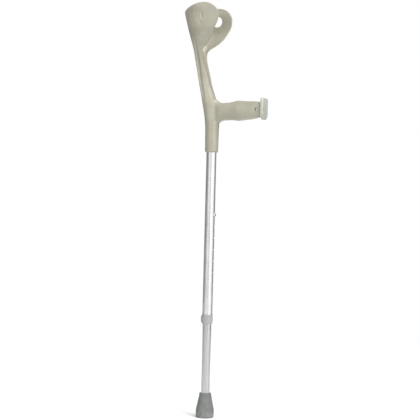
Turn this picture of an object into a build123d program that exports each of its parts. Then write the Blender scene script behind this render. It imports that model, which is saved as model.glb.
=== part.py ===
from build123d import *
import os
from math import copysign, cos, pi, sin

# Forearm crutch at its shortest setting, standing upright on its rubber tip.
# Millimetres. The origin is the centre of the tip's ground face.
# +Z runs up the shaft, and the hand grip points to +X.

# ---- Shaft tubes ----
UPPER_TUBE_RADIUS = 11.0
LOWER_TUBE_RADIUS = 9.5
TUBE_WALL = 1.2
UPPER_TUBE_BOTTOM = 210.0
UPPER_TUBE_TOP = 650.0
LOWER_TUBE_BOTTOM = 14.0
LOWER_TUBE_TOP = 470.0
RUNNING_GAP = 0.1

# ---- Glide cap in the top of the lower tube ----
GLIDE_BORE = 3.0
GLIDE_PLUG_LENGTH = 10.0
GLIDE_FLANGE = 6.0
GLIDE_CHAMFER = 1.0

# ---- Height adjustment ----
HOLE_PITCH = 25.0
HOLE_COUNT = 7
HOLE_RADIUS = 4.2
HOLE_REACH = 20.0
BUTTON_HEIGHT = 446.0
BUTTON_RADIUS = 3.9
BUTTON_TOP = 13.2
BUTTON_EDGE = 12.2
TAIL_RADIUS = 1.5
TAIL_HEAD_RADIUS = 2.6
TAIL_HEAD_THICKNESS = 0.7
LEAF_THICKNESS = 0.6
LEAF_WIDTH = 7.0
LEAF_MIDDLE = 7.0
LEAF_TOP = 455.0
LEAF_SHOULDER = 436.0
LEAF_BEND = 404.0
LEAF_BEND_RADIUS = 2.0

# ---- Guide collar at the mouth of the upper tube ----
COLLAR_BOTTOM = 205.5
COLLAR_TOP = 226.5
COLLAR_RADIUS = 12.1
COLLAR_TOP_RADIUS = 11.8
COLLAR_LIP_RADIUS = 11.6
COLLAR_PAD_REACH = 13.7
COLLAR_PAD_HALF_WIDTH = 4.0
COLLAR_PAD_HEIGHT = 216.0
COLLAR_PAD_HALF_HEIGHT = 7.0
COLLAR_PAD_ROUND = 1.2

# ---- Socket that holds the upper tube ----
SOCKET_BOTTOM = 583.0
SOCKET_MOUTH_RADIUS = 14.4
SOCKET_CHAMFER = 1.8
SOCKET_CORE_RADIUS = 7.0
SOCKET_CORE_TOP = 690.0
SOCKET_CORE_DRAFT = 4.0
RIVET_HEIGHT = 612.0
RIVET_RADIUS = 2.0
RIVET_HEAD_RADIUS = 3.5
RIVET_SEAT = 14.2
RIVET_TAIL_RADIUS = 2.75
RIVET_TAIL_START = -9.35
RIVET_TAIL_END = -8.2

# ---- Hand grip ----
GRIP_END = 116.2
CORE_START = 34.0
CORE_HEIGHT = 676.0
CORE_HALF_HEIGHT = 12.2
CORE_HALF_WIDTH = 9.0
LATCH_START = 102.8
LATCH_END = 109.2
LATCH_HALF_HEIGHT = 3.8
LATCH_GAP = 0.3

# ---- End cap of the grip ----
CAP_THICKNESS = 6.6
CAP_HEIGHT = 678.4
CAP_HALF_HEIGHT = 23.5
CAP_TOP_HALF_WIDTH = 17.5
CAP_MIDDLE_HALF_WIDTH = 18.5
CAP_BOTTOM_HALF_WIDTH = 10.0
CAP_SHOULDER = -13.0
CAP_PLUG_LENGTH = 16.0
CAP_PLUG_WALL = 2.0
LUG_ROOT = 7.5
LUG_SHOULDER = 11.6
LUG_REACH = 13.6
LUG_RAMP = 3.0

# ---- Forearm cuff ----
BLOCK_BOTTOM = 560.0
BLOCK_FRONT = 40.0
BLOCK_HALF_WIDTH = 70.0
CUFF_HOLE_RADIUS = 12.0
CUFF_HOLE_X = -11.5
CUFF_HOLE_Z = 878.0
GROOVE_RADIUS = 3.8

# ---- Rubber tip ----
TIP_HEIGHT = 54.0
TIP_RADIUS = 19.8
TIP_BAND_TOP = 17.0
TIP_NECK_HEIGHT = 49.0
TIP_NECK_RADIUS = 13.4
WASHER_BOTTOM = 12.0
WASHER_RADIUS = 9.3
TIP_GROUND_ROUND = 2.6
TIP_MOUTH_ROUND = 2.2
TREAD_RADII = (7.0, 11.0)
TREAD_WIDTH = 1.6
TREAD_DEPTH = 1.5

SECTION_POINTS = 24
ROUND = 2.0
CUFF_FULLNESS = 2.3
GRIP_FULLNESS = 2.3

# Outer skin of socket, stem and cuff: height, back, widest place, front, half width.
# Above the stem the front runs past the rim, which cuts it to shape.
SKIN_SECTIONS = [
    (SOCKET_BOTTOM, -SOCKET_MOUTH_RADIUS, 0.0, SOCKET_MOUTH_RADIUS, SOCKET_MOUTH_RADIUS),
    (597, -14.65, 0.0, 14.65, 14.65),
    (611, -14.9, 0.0, 14.9, 14.9),
    (625, -15.15, 0.0, 15.15, 15.15),
    (638, -15.4, 0.0, 15.4, 15.4),
    (650, -16.3, -0.3, 15.5, 15.4),
    (662, -18.0, -1.2, 15.0, 15.4),
    (675, -20.2, -3.2, 14.0, 15.3),
    (690, -23.2, -6.2, 10.8, 15.0),
    (705, -25.9, -13.0, 6.6, 14.8),
    (723, -29.2, -20.5, 0.6, 15.0),
    (745, -33.2, -26.5, -4.5, 15.6),
    (767, -37.1, -31.0, -8.0, 16.4),
    (789, -41.2, -34.5, -7.0, 17.4),
    (802, -43.8, -34.5, 4.0, 19.0),
    (812, -46.5, -32.0, 16.0, 22.0),
    (825, -50.0, -20.0, 42.0, 31.5),
    (838, -53.4, -10.0, 68.0, 42.0),
    (852, -57.0, -9.5, 88.0, 47.0),
    (868, -61.2, -13.5, 94.0, 48.0),
    (888, -66.5, -18.5, 92.0, 47.5),
    (916, -73.5, -26.0, 88.0, 46.5),
]

# Hollow of the cuff, which runs out down the front of the stem as a shallow trough, in the same order.
HOLLOW_SECTIONS = [
    (701, 7.4, 8.7, 40.0, 4.0),
    (723, -3.0, -1.0, 35.0, 8.0),
    (745, -10.0, -7.2, 30.0, 10.0),
    (767, -17.2, -13.8, 30.0, 11.5),
    (789, -24.8, -20.4, 32.0, 13.0),
    (802, -30.4, -21.6, 36.0, 15.0),
    (812, -37.5, -18.0, 44.0, 18.5),
    (825, -44.2, -12.0, 60.0, 28.0),
    (838, -48.8, -9.5, 76.0, 37.4),
    (852, -52.5, -9.5, 92.0, 42.5),
    (868, -56.7, -13.5, 98.0, 43.5),
    (888, -62.0, -18.5, 98.0, 43.0),
    (930, -72.6, -27.0, 94.0, 41.6),
]

# Hand grip: distance from the shaft, centre height, half height, half width.
GRIP_SECTIONS = [
    (2, 670.2, 26.2, 9.5),
    (13, 670.2, 26.2, 12.8),
    (18, 671.2, 21.8, 14.2),
    (25, 672.4, 19.4, 14.9),
    (36, 673.3, 19.3, 15.0),
    (52, 674.6, 20.8, 15.6),
    (76, 675.0, 20.8, 15.6),
    (95, 675.8, 19.4, 15.0),
    (106, 676.5, 17.7, 14.2),
    (111.5, 676.8, 16.6, 13.4),
    (GRIP_END, 676.8, 16.6, 13.4),
]

# Front of the stem, rim of the wing and top edge of the cuff, seen from the side.
RIM_LINE = [
    (11.6, 690),
    (-2.4, 723),
    (-15.4, 767),
    (-22.4, 793),
    (-21.0, 807),
    (-5.4, 819.8),
    (12.6, 846),
    (22.8, 866),
    (23.9, 885),
    (13.8, 900.2),
    (-7.5, 908.0),
    (-34, 902.6),
    (-66, 888.2),
    (-90, 877),
]

# Middle of the groove on each side of the stem: distance from the shaft, distance to the side, height.
GROOVE_LINE = [
    (-13.5, 19.5, 688),
    (-17.3, 16.2, 703),
    (-21.2, 15.4, 723),
    (-24.8, 15.8, 745),
    (-28.2, 16.6, 767),
    (-31.8, 18.0, 790),
    (-34.8, 22.5, 810),
    (-38.0, 36.0, 834),
]


def oval_points(reach_back, reach_front, half_width, fullness):
    """Points round a closed oval whose back and front halves may differ; fullness 2 is a true ellipse."""
    points = []
    for step in range(SECTION_POINTS):
        angle = 2 * pi * step / SECTION_POINTS
        reach = reach_front if cos(angle) > 0 else reach_back
        along = reach * copysign(abs(cos(angle)) ** (2 / fullness), cos(angle))
        across = half_width * copysign(abs(sin(angle)) ** (2 / fullness), sin(angle))
        points.append((along, across))
    return points


def level_section(height, back, middle, front, half_width):
    """A closed horizontal section of the stem or cuff."""
    fullness = CUFF_FULLNESS if height > 780 else ROUND
    outline = oval_points(middle - back, front - middle, half_width, fullness)
    return Wire([Spline([(middle + x, y, height) for x, y in outline], periodic=True)])


def grip_section(distance, centre_height, half_height, half_width):
    """A closed section of the hand grip, square to its length."""
    outline = oval_points(half_height, half_height, half_width, GRIP_FULLNESS)
    return Wire([Spline([(distance, y, centre_height + z) for z, y in outline], periodic=True)])


def turned(points):
    """A solid turned about the shaft from a closed (radius, height) outline."""
    return revolve(Plane.XZ * make_face(Polyline(*points, close=True)), Axis.Z, 360)


def rod(radius, height, start, end):
    """A round bar along X from start to end, at a height on the shaft."""
    return Pos(start, 0, height) * Rot(0, 90, 0) * extrude(Circle(radius), end - start)


def upright_tube(radius, bottom, top):
    """A drawn tube round the shaft's axis."""
    ring = Circle(radius) - Circle(radius - TUBE_WALL)
    return extrude(Pos(0, 0, bottom) * ring, top - bottom)


def rim_block():
    """Everything behind the front of the stem and inside the rim of the cuff, seen from the side."""
    rim_start = RIM_LINE[0]
    rim_end = RIM_LINE[-1]
    corners = [(rim_end[0], BLOCK_BOTTOM), (BLOCK_FRONT, BLOCK_BOTTOM), (BLOCK_FRONT, rim_start[1])]
    outline = Spline(*RIM_LINE) + Polyline(rim_end, *corners, rim_start)
    return extrude(Plane.XZ * make_face(outline), BLOCK_HALF_WIDTH, both=True)


def stem_groove(side):
    """Cutter for the long groove on one side of the stem, which leaves the surface at both ends."""
    path = Spline(*[(x, side * y, z) for x, y, z in GROOVE_LINE])
    return sweep(Plane(path @ 0, z_dir=path % 0) * Circle(GROOVE_RADIUS), path)


def grip_bar():
    """The solid hand grip, with a flared root that starts inside the stem."""
    return Solid.make_loft([grip_section(*section) for section in GRIP_SECTIONS])


def core_rod(half_height, half_width, start, end):
    """An oval bar along the middle of the grip."""
    oval = Ellipse(half_width, half_height)
    return extrude(Plane((start, 0, CORE_HEIGHT), x_dir=(0, 1, 0), z_dir=(1, 0, 0)) * oval, end - start)


def block(start, end, half_width, height, half_height):
    """A box between two distances from the shaft, centred across it."""
    size = Box(end - start, 2 * half_width, 2 * half_height)
    return Pos((start + end) / 2, 0, height) * size


def cuff_handle_moulding():
    """One plastic moulding: forearm cuff, stem, hollow hand grip and tube socket."""
    skin = Solid.make_loft([level_section(*section) for section in SKIN_SECTIONS])
    hollow = Solid.make_loft([level_section(*section) for section in HOLLOW_SECTIONS])
    hole_start = Pos(CUFF_HOLE_X, BLOCK_HALF_WIDTH, CUFF_HOLE_Z) * Rot(90, 0, 0)
    wing_hole = hole_start * extrude(Circle(CUFF_HOLE_RADIUS), BLOCK_HALF_WIDTH)
    mouth_chamfer = turned(
        [
            (SOCKET_MOUTH_RADIUS - SOCKET_CHAMFER, SOCKET_BOTTOM),
            (SOCKET_MOUTH_RADIUS + 1, SOCKET_BOTTOM + SOCKET_CHAMFER + 1),
            (SOCKET_MOUTH_RADIUS + 1, SOCKET_BOTTOM),
        ]
    )
    body = (skin & rim_block()) + grip_bar() - hollow - wing_hole - mouth_chamfer
    for side in (-1, 1):
        body -= stem_groove(side)
    body -= core_rod(CORE_HALF_HEIGHT, CORE_HALF_WIDTH, CORE_START, GRIP_END + 1)
    body -= block(LATCH_START, LATCH_END, BLOCK_HALF_WIDTH, CORE_HEIGHT, LATCH_HALF_HEIGHT)
    body -= Pos(0, 0, SOCKET_BOTTOM) * extrude(Circle(UPPER_TUBE_RADIUS), UPPER_TUBE_TOP - SOCKET_BOTTOM)
    body -= Pos(0, 0, UPPER_TUBE_TOP) * extrude(
        Circle(SOCKET_CORE_RADIUS), SOCKET_CORE_TOP - UPPER_TUBE_TOP, taper=SOCKET_CORE_DRAFT
    )
    body -= rod(RIVET_RADIUS, RIVET_HEIGHT, -HOLE_REACH, 0)
    body -= rod(RIVET_HEAD_RADIUS + 0.3, RIVET_HEIGHT, -HOLE_REACH, -RIVET_SEAT)
    return body


def handle_end_cap():
    """Palm stop that plugs the hollow grip: flat-topped plate, hollow plug and two snap lugs."""
    back = Plane((GRIP_END, 0, CAP_HEIGHT), x_dir=(0, 1, 0), z_dir=(1, 0, 0))
    right_side = [
        (CAP_TOP_HALF_WIDTH, CAP_HALF_HEIGHT),
        (CAP_MIDDLE_HALF_WIDTH, CAP_SHOULDER),
        (CAP_BOTTOM_HALF_WIDTH, -CAP_HALF_HEIGHT),
    ]
    left_side = [(-across, up) for across, up in reversed(right_side)]
    face = make_face(Polyline(*right_side, *left_side, close=True))
    top_corners = face.vertices().group_by(Axis.Y)[-1]
    face = fillet(face.vertices() - top_corners, 9)
    face = fillet(face.vertices().group_by(Axis.Y)[-1], 6)
    plate = extrude(back * face, CAP_THICKNESS)
    plate = fillet(plate.faces().sort_by(Axis.X)[-1].edges(), 3.0)
    plate = fillet(plate.faces().sort_by(Axis.X)[0].edges(), 0.8)
    plug_start = GRIP_END - CAP_PLUG_LENGTH
    plug = core_rod(CORE_HALF_HEIGHT, CORE_HALF_WIDTH, plug_start, GRIP_END)
    plug -= core_rod(CORE_HALF_HEIGHT - CAP_PLUG_WALL, CORE_HALF_WIDTH - CAP_PLUG_WALL, plug_start, GRIP_END)
    cap = plate + plug
    lug_start = LATCH_START + LATCH_GAP
    lug_end = LATCH_END - LATCH_GAP
    lug_height = 2 * (LATCH_HALF_HEIGHT - LATCH_GAP)
    for side in (-1, 1):
        root = side * LUG_ROOT
        crest = side * LUG_REACH
        ramp = [
            (lug_start, root),
            (lug_end, root),
            (lug_end, crest),
            (lug_start + LUG_RAMP, crest),
            (lug_start, side * LUG_SHOULDER),
        ]
        lug = extrude(make_face(Polyline(*ramp, close=True)), lug_height)
        cap += Pos(0, 0, CORE_HEIGHT - lug_height / 2) * lug
    return cap


def socket_rivet():
    """Blind rivet through the back of the socket and the tube wall."""
    head_outline = [
        (0, 0),
        (RIVET_HEAD_RADIUS, 0),
        (RIVET_HEAD_RADIUS - 0.3, 0.7),
        (2.2, 1.4),
        (0.8, 1.6),
        (0.8, 1.1),
        (0, 1.1),
    ]
    head = Pos(-RIVET_SEAT, 0, RIVET_HEIGHT) * Rot(0, -90, 0) * turned(head_outline)
    shank = rod(RIVET_RADIUS, RIVET_HEIGHT, -RIVET_SEAT, RIVET_TAIL_END)
    tail = rod(RIVET_TAIL_RADIUS, RIVET_HEIGHT, RIVET_TAIL_START, RIVET_TAIL_END)
    return head + shank + tail


def upper_tube():
    """Upper shaft tube with the row of height holes and the rivet hole."""
    tube = upright_tube(UPPER_TUBE_RADIUS, UPPER_TUBE_BOTTOM, UPPER_TUBE_TOP)
    for number in range(HOLE_COUNT):
        tube -= rod(HOLE_RADIUS, BUTTON_HEIGHT - number * HOLE_PITCH, 0, HOLE_REACH)
    return tube - rod(RIVET_RADIUS, RIVET_HEIGHT, -HOLE_REACH, 0)


def lower_tube():
    """Sliding shaft tube with one hole for the snap button."""
    tube = upright_tube(LOWER_TUBE_RADIUS, LOWER_TUBE_BOTTOM, LOWER_TUBE_TOP)
    return tube - rod(HOLE_RADIUS, BUTTON_HEIGHT, 0, HOLE_REACH)


def guide_collar():
    """Plastic ring on the mouth of the upper tube, whose lip steadies the lower tube."""
    lip_bore = LOWER_TUBE_RADIUS + RUNNING_GAP
    ring = turned(
        [
            (lip_bore, COLLAR_BOTTOM),
            (COLLAR_LIP_RADIUS, COLLAR_BOTTOM),
            (COLLAR_RADIUS - 0.3, COLLAR_BOTTOM + 3),
            (COLLAR_RADIUS, COLLAR_BOTTOM + 6),
            (COLLAR_RADIUS, COLLAR_TOP - 6),
            (COLLAR_RADIUS - 0.2, COLLAR_TOP - 3),
            (COLLAR_TOP_RADIUS, COLLAR_TOP),
            (UPPER_TUBE_RADIUS, COLLAR_TOP),
            (UPPER_TUBE_RADIUS, UPPER_TUBE_BOTTOM),
            (lip_bore, UPPER_TUBE_BOTTOM),
        ]
    )
    pad_root = -COLLAR_TOP_RADIUS
    pad = block(
        -COLLAR_PAD_REACH, pad_root, COLLAR_PAD_HALF_WIDTH, COLLAR_PAD_HEIGHT, COLLAR_PAD_HALF_HEIGHT
    )
    pad = fillet(pad.faces().sort_by(Axis.X)[0].edges(), COLLAR_PAD_ROUND)
    return ring + pad


def leg_glide_cap():
    """Plastic plug in the top of the lower tube that glides in the upper tube."""
    plug_radius = LOWER_TUBE_RADIUS - TUBE_WALL
    plug_bottom = LOWER_TUBE_TOP - GLIDE_PLUG_LENGTH
    glide_radius = UPPER_TUBE_RADIUS - TUBE_WALL - RUNNING_GAP
    glide_top = LOWER_TUBE_TOP + GLIDE_FLANGE
    return turned(
        [
            (GLIDE_BORE, plug_bottom),
            (plug_radius, plug_bottom),
            (plug_radius, LOWER_TUBE_TOP),
            (glide_radius, LOWER_TUBE_TOP),
            (glide_radius, glide_top - GLIDE_CHAMFER),
            (glide_radius - GLIDE_CHAMFER, glide_top),
            (GLIDE_BORE, glide_top),
        ]
    )


def button_spring():
    """V-shaped leaf spring inside the lower tube that pushes the button out."""
    route = FilletPolyline(
        (LEAF_MIDDLE, LEAF_TOP),
        (LEAF_MIDDLE, LEAF_SHOULDER),
        (0, LEAF_BEND),
        (-LEAF_MIDDLE, LEAF_SHOULDER),
        (-LEAF_MIDDLE, LEAF_TOP),
        radius=LEAF_BEND_RADIUS,
    )
    path = Plane.XZ * route
    strip = Plane(path @ 0, x_dir=(1, 0, 0), z_dir=path % 0) * Rectangle(LEAF_THICKNESS, LEAF_WIDTH)
    return sweep(strip, path) - rod(TAIL_RADIUS, BUTTON_HEIGHT, 0, HOLE_REACH)


def snap_button():
    """Steel button riveted to the leaf, standing through both tubes."""
    leaf_outside = LEAF_MIDDLE + LEAF_THICKNESS / 2
    leaf_inside = LEAF_MIDDLE - LEAF_THICKNESS / 2
    tail_end = leaf_inside - TAIL_HEAD_THICKNESS
    body = rod(BUTTON_RADIUS, BUTTON_HEIGHT, leaf_outside, BUTTON_TOP)
    body = fillet(body.edges().sort_by(Axis.X)[-1], BUTTON_TOP - BUTTON_EDGE)
    tail = rod(TAIL_RADIUS, BUTTON_HEIGHT, tail_end, leaf_outside)
    tail_head = rod(TAIL_HEAD_RADIUS, BUTTON_HEIGHT, tail_end, leaf_inside)
    return body + tail + tail_head


def ferrule():
    """Rubber tip with a flared foot, a steel-floored bore and a ringed tread."""
    body = turned(
        [
            (0, 0),
            (TIP_RADIUS - 0.4, 0),
            (TIP_RADIUS, 4),
            (TIP_RADIUS, TIP_BAND_TOP),
            (TIP_NECK_RADIUS, TIP_NECK_HEIGHT),
            (TIP_NECK_RADIUS, TIP_HEIGHT),
            (LOWER_TUBE_RADIUS, TIP_HEIGHT),
            (LOWER_TUBE_RADIUS, WASHER_BOTTOM),
            (0, WASHER_BOTTOM),
        ]
    )
    body = fillet(body.edges().filter_by(GeomType.CIRCLE).group_by(Axis.Z)[0], TIP_GROUND_ROUND)
    top_circles = body.edges().filter_by(GeomType.CIRCLE).group_by(Axis.Z)[-1]
    body = fillet(top_circles.sort_by(SortBy.RADIUS)[-1], TIP_MOUTH_ROUND)
    for inner in TREAD_RADII:
        outer = inner + TREAD_WIDTH
        body -= turned([(inner, 0), (outer, 0), (outer, TREAD_DEPTH), (inner, TREAD_DEPTH)])
    return body


def ferrule_washer():
    """Steel disc under the end of the lower tube that keeps it from cutting through the rubber."""
    return Pos(0, 0, WASHER_BOTTOM) * extrude(Circle(WASHER_RADIUS), LOWER_TUBE_BOTTOM - WASHER_BOTTOM)


os.makedirs("parts", exist_ok=True)
for make_part in (
    cuff_handle_moulding,
    handle_end_cap,
    socket_rivet,
    upper_tube,
    guide_collar,
    lower_tube,
    leg_glide_cap,
    button_spring,
    snap_button,
    ferrule,
    ferrule_washer,
):
    export_step(make_part(), f"parts/{make_part.__name__}.step")
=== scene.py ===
import math

import bmesh
import bpy
from mathutils import Matrix, Vector


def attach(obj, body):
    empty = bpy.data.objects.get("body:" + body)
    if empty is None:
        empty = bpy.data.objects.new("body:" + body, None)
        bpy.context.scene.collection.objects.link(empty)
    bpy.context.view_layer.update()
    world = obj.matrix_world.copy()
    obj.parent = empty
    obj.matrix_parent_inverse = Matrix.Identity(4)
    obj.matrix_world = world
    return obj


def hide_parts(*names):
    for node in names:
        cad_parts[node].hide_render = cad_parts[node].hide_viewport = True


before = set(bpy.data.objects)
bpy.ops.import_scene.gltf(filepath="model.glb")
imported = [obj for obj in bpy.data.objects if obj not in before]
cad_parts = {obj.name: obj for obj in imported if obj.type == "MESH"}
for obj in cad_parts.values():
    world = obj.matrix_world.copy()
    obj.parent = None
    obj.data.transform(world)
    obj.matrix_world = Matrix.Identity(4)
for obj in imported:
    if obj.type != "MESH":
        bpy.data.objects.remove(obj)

MM = 0.001
Z_AXIS = 2

for name in ("Cube", "Light", "Camera"):
    leftover = bpy.data.objects.get(name)
    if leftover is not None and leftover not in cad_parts.values():
        bpy.data.objects.remove(leftover)

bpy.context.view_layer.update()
scene = bpy.context.scene
scene.view_settings.view_transform = "Standard"


# ---------------------------------------------------------------- camera, light and floor

VIEW_AZIMUTH = math.radians(21)
VIEW_DISTANCE = 2.65
VIEW_HEIGHT = 0.4564
VIEW_SPAN = 0.9254
LEAN = math.radians(1.49)
SENSOR = 36.0
BOX_DISTANCE = 2.4
BOX_WIDTH = 0.20
BOX_BOTTOM = 0.35
BOX_TOP = 2.35
FLOOR_RADIUS = 1.6
FLOOR_DROP = 0.0002


def add_camera():
    """Camera level with the middle of the crutch, rolled by the crutch's lean in the picture."""
    data = bpy.data.cameras.new("camera")
    data.sensor_width = SENSOR
    data.lens = SENSOR * VIEW_DISTANCE / VIEW_SPAN
    camera = bpy.data.objects.new("camera", data)
    scene.collection.objects.link(camera)
    back = Vector((math.sin(VIEW_AZIMUTH), -math.cos(VIEW_AZIMUTH), 0))
    camera.location = Vector((0, 0, VIEW_HEIGHT)) + back * VIEW_DISTANCE
    aim = (-back).to_track_quat("-Z", "Y").to_matrix().to_4x4()
    camera.rotation_euler = (aim @ Matrix.Rotation(LEAN, 4, "Z")).to_euler()
    scene.camera = camera


def add_sun(name, azimuth, elevation, spread, strength):
    """Even light from one direction; azimuth 0 stands in front (-Y) and 90 on the grip's side (+X)."""
    data = bpy.data.lights.new(name, "SUN")
    data.angle = math.radians(spread)
    data.energy = strength
    lamp = bpy.data.objects.new(name, data)
    scene.collection.objects.link(lamp)
    turn = math.radians(azimuth)
    rise = math.radians(elevation)
    towards = Vector((math.sin(turn) * math.cos(rise), -math.cos(turn) * math.cos(rise), math.sin(rise)))
    lamp.location = towards * 3
    lamp.rotation_euler = towards.to_track_quat("Z", "Y").to_euler()


def add_soft_box(name, azimuth, watts):
    """Tall soft box on a stand beside the camera, aimed level at the crutch."""
    data = bpy.data.lights.new(name, "AREA")
    data.shape = "RECTANGLE"
    data.size = BOX_WIDTH
    data.size_y = BOX_TOP - BOX_BOTTOM
    data.energy = watts
    lamp = bpy.data.objects.new(name, data)
    scene.collection.objects.link(lamp)
    turn = math.radians(azimuth)
    level = Vector((math.sin(turn), -math.cos(turn), 0))
    lamp.location = level * BOX_DISTANCE + Vector((0, 0, (BOX_TOP + BOX_BOTTOM) / 2))
    lamp.rotation_euler = level.to_track_quat("Z", "Y").to_euler()


def add_studio():
    """Pale floor, white surroundings and soft light; the floor is small so the tubes' sides stay dark."""
    below = (0, 0, -FLOOR_DROP)
    bpy.ops.mesh.primitive_circle_add(vertices=96, radius=FLOOR_RADIUS, fill_type="NGON", location=below)
    floor = bpy.context.object
    floor.name = "floor"
    material = bpy.data.materials.new("pale_floor")
    material.use_nodes = True
    shader = material.node_tree.nodes["Principled BSDF"]
    shader.inputs["Base Color"].default_value = (0.93, 0.93, 0.93, 1)
    shader.inputs["Roughness"].default_value = 0.9
    shader.inputs["Specular IOR Level"].default_value = 0.1
    floor.data.materials.append(material)
    world = bpy.data.worlds.new("white_studio")
    world.use_nodes = True
    nodes = world.node_tree.nodes
    links = world.node_tree.links
    surroundings = nodes["Background"]
    surroundings.inputs["Color"].default_value = (1, 1, 1, 1)
    surroundings.inputs["Strength"].default_value = 0.31
    backdrop = nodes.new("ShaderNodeBackground")
    backdrop.inputs["Color"].default_value = (1, 1, 1, 1)
    backdrop.inputs["Strength"].default_value = 1.0
    seen = nodes.new("ShaderNodeLightPath")
    choice = nodes.new("ShaderNodeMixShader")
    links.new(seen.outputs["Is Camera Ray"], choice.inputs["Fac"])
    links.new(surroundings.outputs["Background"], choice.inputs[1])
    links.new(backdrop.outputs["Background"], choice.inputs[2])
    links.new(choice.outputs["Shader"], nodes["World Output"].inputs["Surface"])
    scene.world = world
    add_sun("ceiling", 50, 60, 45, 2.8)
    add_sun("front_wall", 12, 5, 115, 1.2)
    add_sun("side_fill", 80, 8, 50, 0.6)
    add_soft_box("left_box", -12, 3.5)
    add_soft_box("right_box", 50, 9)


# ---------------------------------------------------------------- material tools


class Finish:
    """A material with a Principled shader, and short calls for the nodes that feed it."""

    def __init__(self, name, roughness, metallic=0.0, specular=0.5):
        self.material = bpy.data.materials.new(name)
        self.material.use_nodes = True
        self.nodes = self.material.node_tree.nodes
        self.links = self.material.node_tree.links
        self.shader = self.nodes["Principled BSDF"]
        self.shader.inputs["Roughness"].default_value = roughness
        self.shader.inputs["Metallic"].default_value = metallic
        self.shader.inputs["Specular IOR Level"].default_value = specular
        self.place = self.nodes.new("ShaderNodeTexCoord").outputs["Object"]
        self.relief = None

    def link(self, source, target):
        self.links.new(source, target)

    def stretched(self, stretch):
        """Object coordinates with each axis scaled."""
        mapping = self.nodes.new("ShaderNodeMapping")
        mapping.inputs["Scale"].default_value = stretch
        self.link(self.place, mapping.inputs["Vector"])
        return mapping.outputs["Vector"]

    def noise(self, grain, detail=3.0, stretch=(1, 1, 1), distortion=0.0):
        """Soft noise whose blobs are about a grain across, in metres."""
        node = self.nodes.new("ShaderNodeTexNoise")
        node.inputs["Scale"].default_value = 1 / grain
        node.inputs["Detail"].default_value = detail
        node.inputs["Distortion"].default_value = distortion
        self.link(self.stretched(stretch), node.inputs["Vector"])
        return node.outputs["Fac"]

    def cells(self, grain, stretch=(1, 1, 1)):
        """Distance to the nearest of scattered points, about a grain apart."""
        node = self.nodes.new("ShaderNodeTexVoronoi")
        node.inputs["Scale"].default_value = 1 / grain
        self.link(self.stretched(stretch), node.inputs["Vector"])
        return node.outputs["Distance"]

    def ramp(self, source, low, high, dark=0.0, light=1.0):
        """Source spread from low..high to dark..light and held outside it."""
        node = self.nodes.new("ShaderNodeMapRange")
        node.interpolation_type = "SMOOTHSTEP"
        node.inputs["From Min"].default_value = low
        node.inputs["From Max"].default_value = high
        node.inputs["To Min"].default_value = dark
        node.inputs["To Max"].default_value = light
        self.link(source, node.inputs["Value"])
        return node.outputs["Result"]

    def math(self, operation, first, second):
        """One sum, product or comparison; either side may be a socket or a number."""
        node = self.nodes.new("ShaderNodeMath")
        node.operation = operation
        for value, socket in zip((first, second), node.inputs):
            if isinstance(value, (int, float)):
                socket.default_value = value
            else:
                self.link(value, socket)
        return node.outputs["Value"]

    def mix(self, factor, first, second):
        """Colour between first and second; each is a colour or a socket."""
        node = self.nodes.new("ShaderNodeMix")
        node.data_type = "RGBA"
        self.link(factor, node.inputs["Factor"])
        for value, socket in zip((first, second), (node.inputs[6], node.inputs[7])):
            if isinstance(value, tuple):
                socket.default_value = (*value, 1)
            else:
                self.link(value, socket)
        return node.outputs[2]

    def along(self, axis):
        """Object coordinate along one axis, in metres."""
        node = self.nodes.new("ShaderNodeSeparateXYZ")
        self.link(self.place, node.inputs["Vector"])
        return node.outputs[axis]

    def pointiness(self):
        return self.nodes.new("ShaderNodeNewGeometry").outputs["Pointiness"]

    def colour(self, source):
        self.link(source, self.shader.inputs["Base Color"])

    def roughness(self, source):
        self.link(source, self.shader.inputs["Roughness"])

    def bump(self, height, depth, strength=1.0):
        """Relief of a real depth in metres, on top of any relief already there."""
        node = self.nodes.new("ShaderNodeBump")
        node.inputs["Strength"].default_value = strength
        node.inputs["Distance"].default_value = depth
        self.link(height, node.inputs["Height"])
        if self.relief is not None:
            self.link(self.relief, node.inputs["Normal"])
        self.relief = node.outputs["Normal"]
        self.link(self.relief, self.shader.inputs["Normal"])


# ---------------------------------------------------------------- materials


def moulded_plastic(name, pigment, shade, bright, scuff):
    """Glossy moulded plastic: flow marks, fine grain, rubbed edges, painted shade in creases and hollows,
    and light scuffs.
    """
    finish = Finish(name, 0.28, specular=0.5)
    clouds = finish.noise(0.045, detail=4)
    cloudy = finish.mix(finish.ramp(clouds, 0.35, 0.7), shade, pigment)
    specks = finish.ramp(finish.noise(0.0016, detail=2), 0.42, 0.75)
    grained = finish.mix(finish.math("MULTIPLY", specks, 0.18), cloudy, bright)
    edges = finish.ramp(finish.pointiness(), 0.52, 0.60)
    worn = finish.mix(finish.math("MULTIPLY", edges, 0.45), grained, bright)
    # Painted shade: hollows and creases (low pointiness) are darkened towards the shade colour.
    painted_crease_shade = finish.ramp(finish.pointiness(), 0.49, 0.44)
    finish.colour(finish.mix(finish.math("MULTIPLY", painted_crease_shade, 0.35), worn, shade))
    lengthwise = finish.noise(0.0011, detail=3, stretch=(1, 1, 0.12), distortion=0.6)
    scratches = finish.ramp(lengthwise, 0.60, 0.72)
    patches = finish.ramp(finish.noise(0.022, detail=5), 0.45, 0.65)
    rubbed = finish.math("MULTIPLY", patches, scratches)
    gloss = finish.ramp(clouds, 0.3, 0.7, 0.20, 0.30)
    finish.roughness(finish.math("ADD", gloss, finish.math("MULTIPLY", rubbed, scuff)))
    finish.bump(finish.noise(0.0009, detail=2), 0.00003, 0.5)
    finish.bump(finish.noise(0.014, detail=2), 0.00025, 0.35)
    return finish.material


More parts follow.
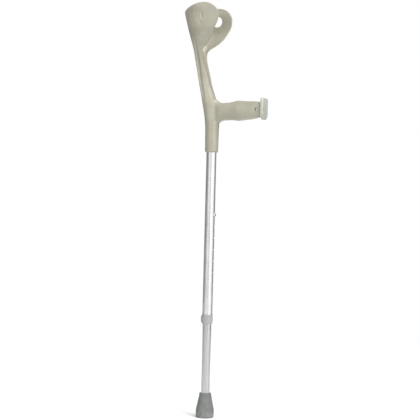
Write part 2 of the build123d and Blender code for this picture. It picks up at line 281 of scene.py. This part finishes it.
def drawn_aluminium(name, tone, slide_marks):
    """Anodised drawn tube: fine lines along its length, soft bands, handling marks and slide scratches."""
    finish = Finish(name, 0.3, metallic=1.0)
    lines = finish.noise(0.0006, detail=3, stretch=(1, 1, 0.012))
    bands = finish.noise(0.006, detail=2, stretch=(1, 1, 0.05))
    dark = tuple(0.80 * value for value in tone)
    light = tuple(min(1.0, 1.14 * value) for value in tone)
    striped = finish.mix(finish.ramp(lines, 0.3, 0.7), dark, light)
    finish.colour(finish.mix(finish.ramp(bands, 0.35, 0.65, 0.0, 0.5), striped, tone))
    clouds = finish.ramp(finish.noise(0.03, detail=5), 0.35, 0.7, 0.27, 0.37)
    lengthwise = finish.noise(0.0008, detail=3, stretch=(1, 1, 0.03), distortion=0.4)
    scratches = finish.ramp(lengthwise, 0.62, 0.70)
    finish.roughness(finish.math("ADD", clouds, finish.math("MULTIPLY", scratches, slide_marks)))
    finish.bump(lines, 0.00002, 0.6)
    return finish.material


def turned_steel(name, tone, roughness):
    """Bright steel with fine turning marks and light tarnish."""
    finish = Finish(name, roughness, metallic=1.0)
    tarnish = finish.ramp(finish.noise(0.002, detail=4), 0.4, 0.7)
    finish.colour(finish.mix(tarnish, tone, tuple(0.72 * value for value in tone)))
    gloss = finish.noise(0.0008, detail=4)
    finish.roughness(finish.ramp(gloss, 0.3, 0.7, roughness - 0.06, roughness + 0.12))
    finish.bump(finish.noise(0.0003, detail=2), 0.00001, 0.5)
    return finish.material


def tip_rubber(name, tone):
    """Matt moulded rubber with fine pores, and dust and scuffs towards the ground."""
    finish = Finish(name, 0.8, specular=0.35)
    dark = tuple(0.80 * value for value in tone)
    dusty = tuple(1.45 * value for value in tone)
    clouds = finish.mix(finish.ramp(finish.noise(0.012, detail=5), 0.35, 0.7), dark, tone)
    pores = finish.ramp(finish.cells(0.0014), 0.0, 0.35)
    pored = finish.mix(pores, dark, clouds)
    ground = finish.ramp(finish.along(Z_AXIS), 0.022, 0.002)
    dust = finish.math("MULTIPLY", ground, finish.ramp(finish.noise(0.004, detail=6), 0.4, 0.65, 0.1, 0.8))
    edges = finish.ramp(finish.pointiness(), 0.52, 0.6, 0.0, 0.4)
    finish.colour(finish.mix(finish.math("MAXIMUM", dust, edges), pored, dusty))
    finish.roughness(finish.ramp(finish.noise(0.005, detail=4), 0.35, 0.7, 0.68, 0.88))
    finish.bump(finish.cells(0.0014), 0.00005, 0.6)
    finish.bump(finish.noise(0.006, detail=3), 0.0002, 0.3)
    return finish.material


BEIGE = moulded_plastic(
    "beige_plastic", (0.375, 0.358, 0.281), (0.317, 0.304, 0.239), (0.49, 0.472, 0.39), 0.25
)
PALE = moulded_plastic("pale_plastic", (0.46, 0.47, 0.405), (0.39, 0.40, 0.34), (0.56, 0.57, 0.50), 0.2)
GREY = moulded_plastic("grey_plastic", (0.33, 0.33, 0.33), (0.28, 0.28, 0.28), (0.42, 0.42, 0.42), 0.3)
UPPER_METAL = drawn_aluminium("upper_tube_aluminium", (0.71, 0.72, 0.72), 0.15)
LOWER_METAL = drawn_aluminium("lower_tube_aluminium", (0.52, 0.52, 0.525), 0.35)
RIVET = turned_steel("rivet_metal", (0.62, 0.62, 0.61), 0.35)
BUTTON = turned_steel("button_steel", (0.66, 0.65, 0.62), 0.24)
SPRING = turned_steel("spring_steel", (0.45, 0.46, 0.48), 0.30)
RUBBER = tip_rubber("tip_rubber", (0.172, 0.182, 0.172))


def finish_node(node, material):
    """Gives a CAD node that stays its material."""
    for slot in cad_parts[node].material_slots:
        slot.material = material


# ---------------------------------------------------------------- softened copies of the CAD shapes

# Corner where the grip leaves the stem, in mm.
CORNER_X = 17
CORNER_Z = 673
CORNER_REACH = 62

# Marks in the outside of the -Y wing, in mm. Only points beyond WING_FACE belong to that side.
WING_FACE = -45.5
DIMPLE_X = -13
DIMPLE_Z = 879
DIMPLE_HALF_WIDTH = 3.6
DIMPLE_HALF_HEIGHT = 8.5
DIMPLE_DEPTH = 1.3
GROOVE_REACH = 2.1
GROOVE_WIDTH = 0.35
GROOVE_DEPTH = 0.9

def smoothed(piece, steps, group=""):
    """Adds a smoothing of so many steps, over the whole piece or one vertex group."""
    modifier = piece.modifiers.new("smooth", "SMOOTH")
    modifier.factor = 0.5
    modifier.iterations = steps
    modifier.vertex_group = group


def applied(piece):
    """Makes the modifiers' result the piece's own mesh."""
    evaluated = piece.evaluated_get(bpy.context.evaluated_depsgraph_get())
    mesh = bpy.data.meshes.new_from_object(evaluated)
    piece.modifiers.clear()
    piece.data = mesh
    return piece


def remeshed_copy(node, name, voxel):
    """A copy of a CAD node in small even faces."""
    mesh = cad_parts[node].data.copy()
    welded = bmesh.new()
    welded.from_mesh(mesh)
    bmesh.ops.remove_doubles(welded, verts=welded.verts, dist=0.01 * MM)
    welded.to_mesh(mesh)
    welded.free()
    piece = bpy.data.objects.new(name, mesh)
    scene.collection.objects.link(piece)
    modifier = piece.modifiers.new("remesh", "REMESH")
    modifier.mode = "VOXEL"
    modifier.voxel_size = voxel
    modifier.use_smooth_shade = True
    return applied(piece)


def settle(piece, node, body, material):
    """Puts a finished copy in its node's place."""
    piece.data.materials.clear()
    piece.data.materials.append(material)
    for polygon in piece.data.polygons:
        polygon.use_smooth = True
        polygon.material_index = 0
    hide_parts(node)
    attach(piece, body)


def press_marks(piece):
    """Shallow oval dimple and a curved groove behind it, moulded in the outside of the -Y wing."""
    for vertex in piece.data.vertices:
        x, y, z = vertex.co / MM
        if y > WING_FACE:
            continue
        reach = math.hypot((x - DIMPLE_X) / DIMPLE_HALF_WIDTH, (z - DIMPLE_Z) / DIMPLE_HALF_HEIGHT)
        dimple = max(0.0, 1 - reach ** 2)
        groove = max(0.0, 1 - abs(reach - GROOVE_REACH) / GROOVE_WIDTH) if x < DIMPLE_X else 0.0
        vertex.co.y += (DIMPLE_DEPTH * math.sqrt(dimple) + GROOVE_DEPTH * groove) * MM


def add_moulding():
    """Cuff, stem, grip and socket with rounded rims and a swept corner where the grip leaves the stem."""
    piece = remeshed_copy("cuff_handle_moulding", "cuff_and_handle", 1.0 * MM)
    corner = piece.vertex_groups.new(name="corner")
    for vertex in piece.data.vertices:
        x, _, z = vertex.co / MM
        across = max(0.0, 1 - abs(x - CORNER_X) / CORNER_X)
        level = max(0.0, 1 - abs(z - CORNER_Z) / CORNER_REACH)
        weight = min(1.0, 2.2 * across) * min(1.0, 3 * level)
        if weight > 0:
            corner.add([vertex.index], weight, "REPLACE")
    smoothed(piece, 60, "corner")
    smoothed(piece, 6)
    applied(piece)
    press_marks(piece)
    settle(piece, "cuff_handle_moulding", "upper", BEIGE)


add_camera()
add_studio()
add_moulding()
for node, name, body, slot, material, voxel, steps in (
    ("handle_end_cap", "grip_end_cap", "upper", "pale_plastic", PALE, 0.5, 5),
    ("guide_collar", "tube_collar", "upper", "grey_plastic", GREY, 0.4, 4),
    ("ferrule", "rubber_foot", "leg", "tip_rubber", RUBBER, 0.6, 4),
):
    copy = remeshed_copy(node, name, voxel * MM)
    smoothed(copy, steps)
    settle(applied(copy), node, body, material)
for node, material in (
    ("upper_tube", UPPER_METAL),
    ("lower_tube", LOWER_METAL),
    ("socket_rivet", RIVET),
    ("snap_button", BUTTON),
    ("button_spring", SPRING),
    ("leg_glide_cap", GREY),
    ("ferrule_washer", RIVET),
):
    finish_node(node, material)
